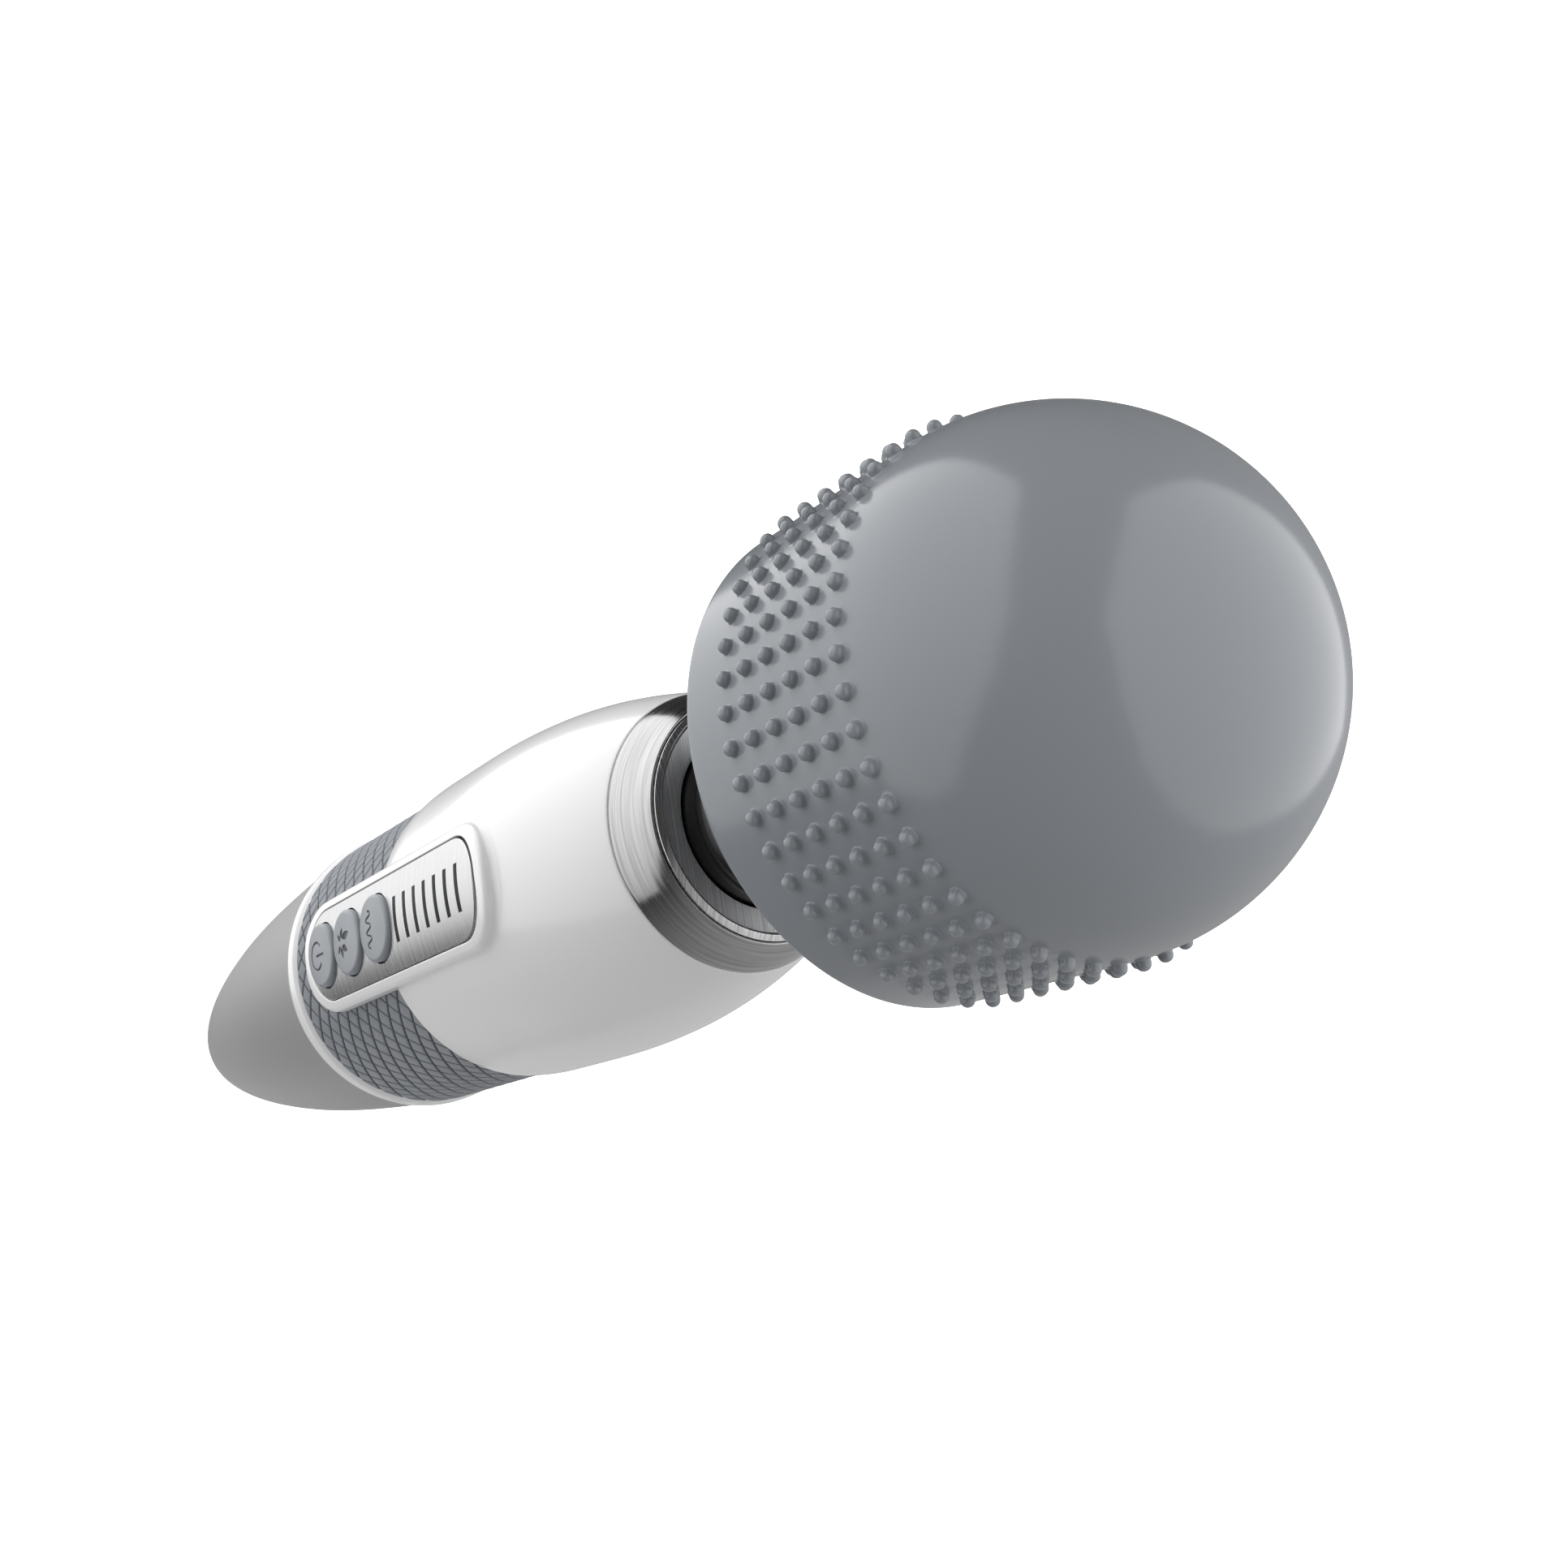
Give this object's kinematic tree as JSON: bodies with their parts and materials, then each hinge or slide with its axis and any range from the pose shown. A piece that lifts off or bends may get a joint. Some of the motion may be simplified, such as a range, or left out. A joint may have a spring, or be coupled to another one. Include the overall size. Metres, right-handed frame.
{
  "type": "handheld wand massager",
  "caption": "Cordless wand massager with a nubbed silicone ball head on a flexible neck, steel collar, push-button panel, diamond grip and tapered tail.",
  "frame": {"origin": "under the middle of the wand, at the level of the lowest nubs of the head, with the wand lying on its back", "axes": "+X along the wand from the tail to the massage head, +Z out of the control panel"},
  "size_m": [0.2904, 0.0636, 0.0634],
  "materials": {
    "head_silicone": "smooth glossy moulded silicone",
    "shell_plastic": "moulded",
    "screw_steel": "zinc plated",
    "motor_steel": "plated",
    "bronze": "sintered",
    "weight_metal": "turned",
    "neck_rubber": "satin black",
    "collar_steel": "brushed round the wand axis",
    "dark_steel": "dark, brushed round the wand axis",
    "white_gloss": "polished white",
    "grip_rubber": "matt with engraved diamonds",
    "tail_silver": "satin silver",
    "plate_steel": "brushed across the wand",
    "button_rubber": "satin silicone",
    "light_lens": "smoked translucent",
    "board_green": "solder mask",
    "part_black": "moulded",
    "led_white": "clear",
    "cell_wrap": null
  },
  "bodies": {
    "handle": {"battery_cells": "cell_wrap", "battery_cradle": "shell_plastic", "battery_tabs": "bronze", "board_screws": "screw_steel", "button_mat": "button_rubber", "chamfer_ring": "collar_steel", "charge_board": "board_green", "charge_leads": "part_black", "charging_jack": "part_black", "chassis_frame": "shell_plastic", "collar_gasket": "neck_rubber", "control_board": "board_green", "front_barrel": "white_gloss", "grip_sleeve": "grip_rubber", "indicator_leds": "led_white", "light_guide": "light_lens", "neck_face_plate": "dark_steel", "neck_housing": "shell_plastic", "neck_root": "neck_rubber", "panel_bezel": "white_gloss", "panel_plate": "plate_steel", "port_gasket": "neck_rubber", "steel_collar": "collar_steel", "tact_switches": "part_black", "tail_cap": "tail_silver", "tail_seal": "neck_rubber", "trim_ring": "white_gloss"},
    "head": {"neck_stem": "neck_rubber", "head_cover": "head_silicone", "head_shell_rear": "shell_plastic", "head_shell_front": "shell_plastic", "head_screws": "screw_steel", "motor_can": "motor_steel", "motor_end_cap": "shell_plastic", "motor_magnets": "motor_steel", "motor_bushes": "bronze", "motor_mount_rear": "shell_plastic", "motor_mount_front": "shell_plastic"},
    "vibration_rotor": {"motor_shaft": "motor_steel", "rotor_core": "motor_steel", "eccentric_weight": "weight_metal"},
    "neck_mid": {"neck_link": "neck_rubber", "neck_pins": "screw_steel"},
    "power_key": {"power_button": "button_rubber"},
    "mode_key": {"mode_button": "button_rubber"},
    "wave_key": {"wave_button": "button_rubber"}
  },
  "joints": [
    {"name": "neck_pitch", "type": "hinge", "parent": "handle", "child": "neck_mid", "pos_m": [0.0642, 0, 0.03169], "axis": [0, 1, 0], "range_deg": [-20, 20], "stiffness_Nm_per_rad": 3},
    {"name": "neck_yaw", "type": "hinge", "parent": "neck_mid", "child": "head", "pos_m": [0.0698, 0, 0.03169], "axis": [0, 0, 1], "range_deg": [-20, 20], "stiffness_Nm_per_rad": 3},
    {"name": "motor_spin", "type": "hinge", "parent": "head", "child": "vibration_rotor", "pos_m": [0.10475, 0, 0.03169], "axis": [1, 0, 0], "continuous": true},
    {"name": "power_press", "type": "slide", "parent": "handle", "child": "power_key", "axis": [0, 0, -1], "range_m": [0, 0.0005], "stiffness_N_per_m": 900},
    {"name": "mode_press", "type": "slide", "parent": "handle", "child": "mode_key", "axis": [0, 0, -1], "range_m": [0, 0.0005], "stiffness_N_per_m": 900},
    {"name": "wave_press", "type": "slide", "parent": "handle", "child": "wave_key", "axis": [0, 0, -1], "range_m": [0, 0.0005], "stiffness_N_per_m": 900}
  ]
}
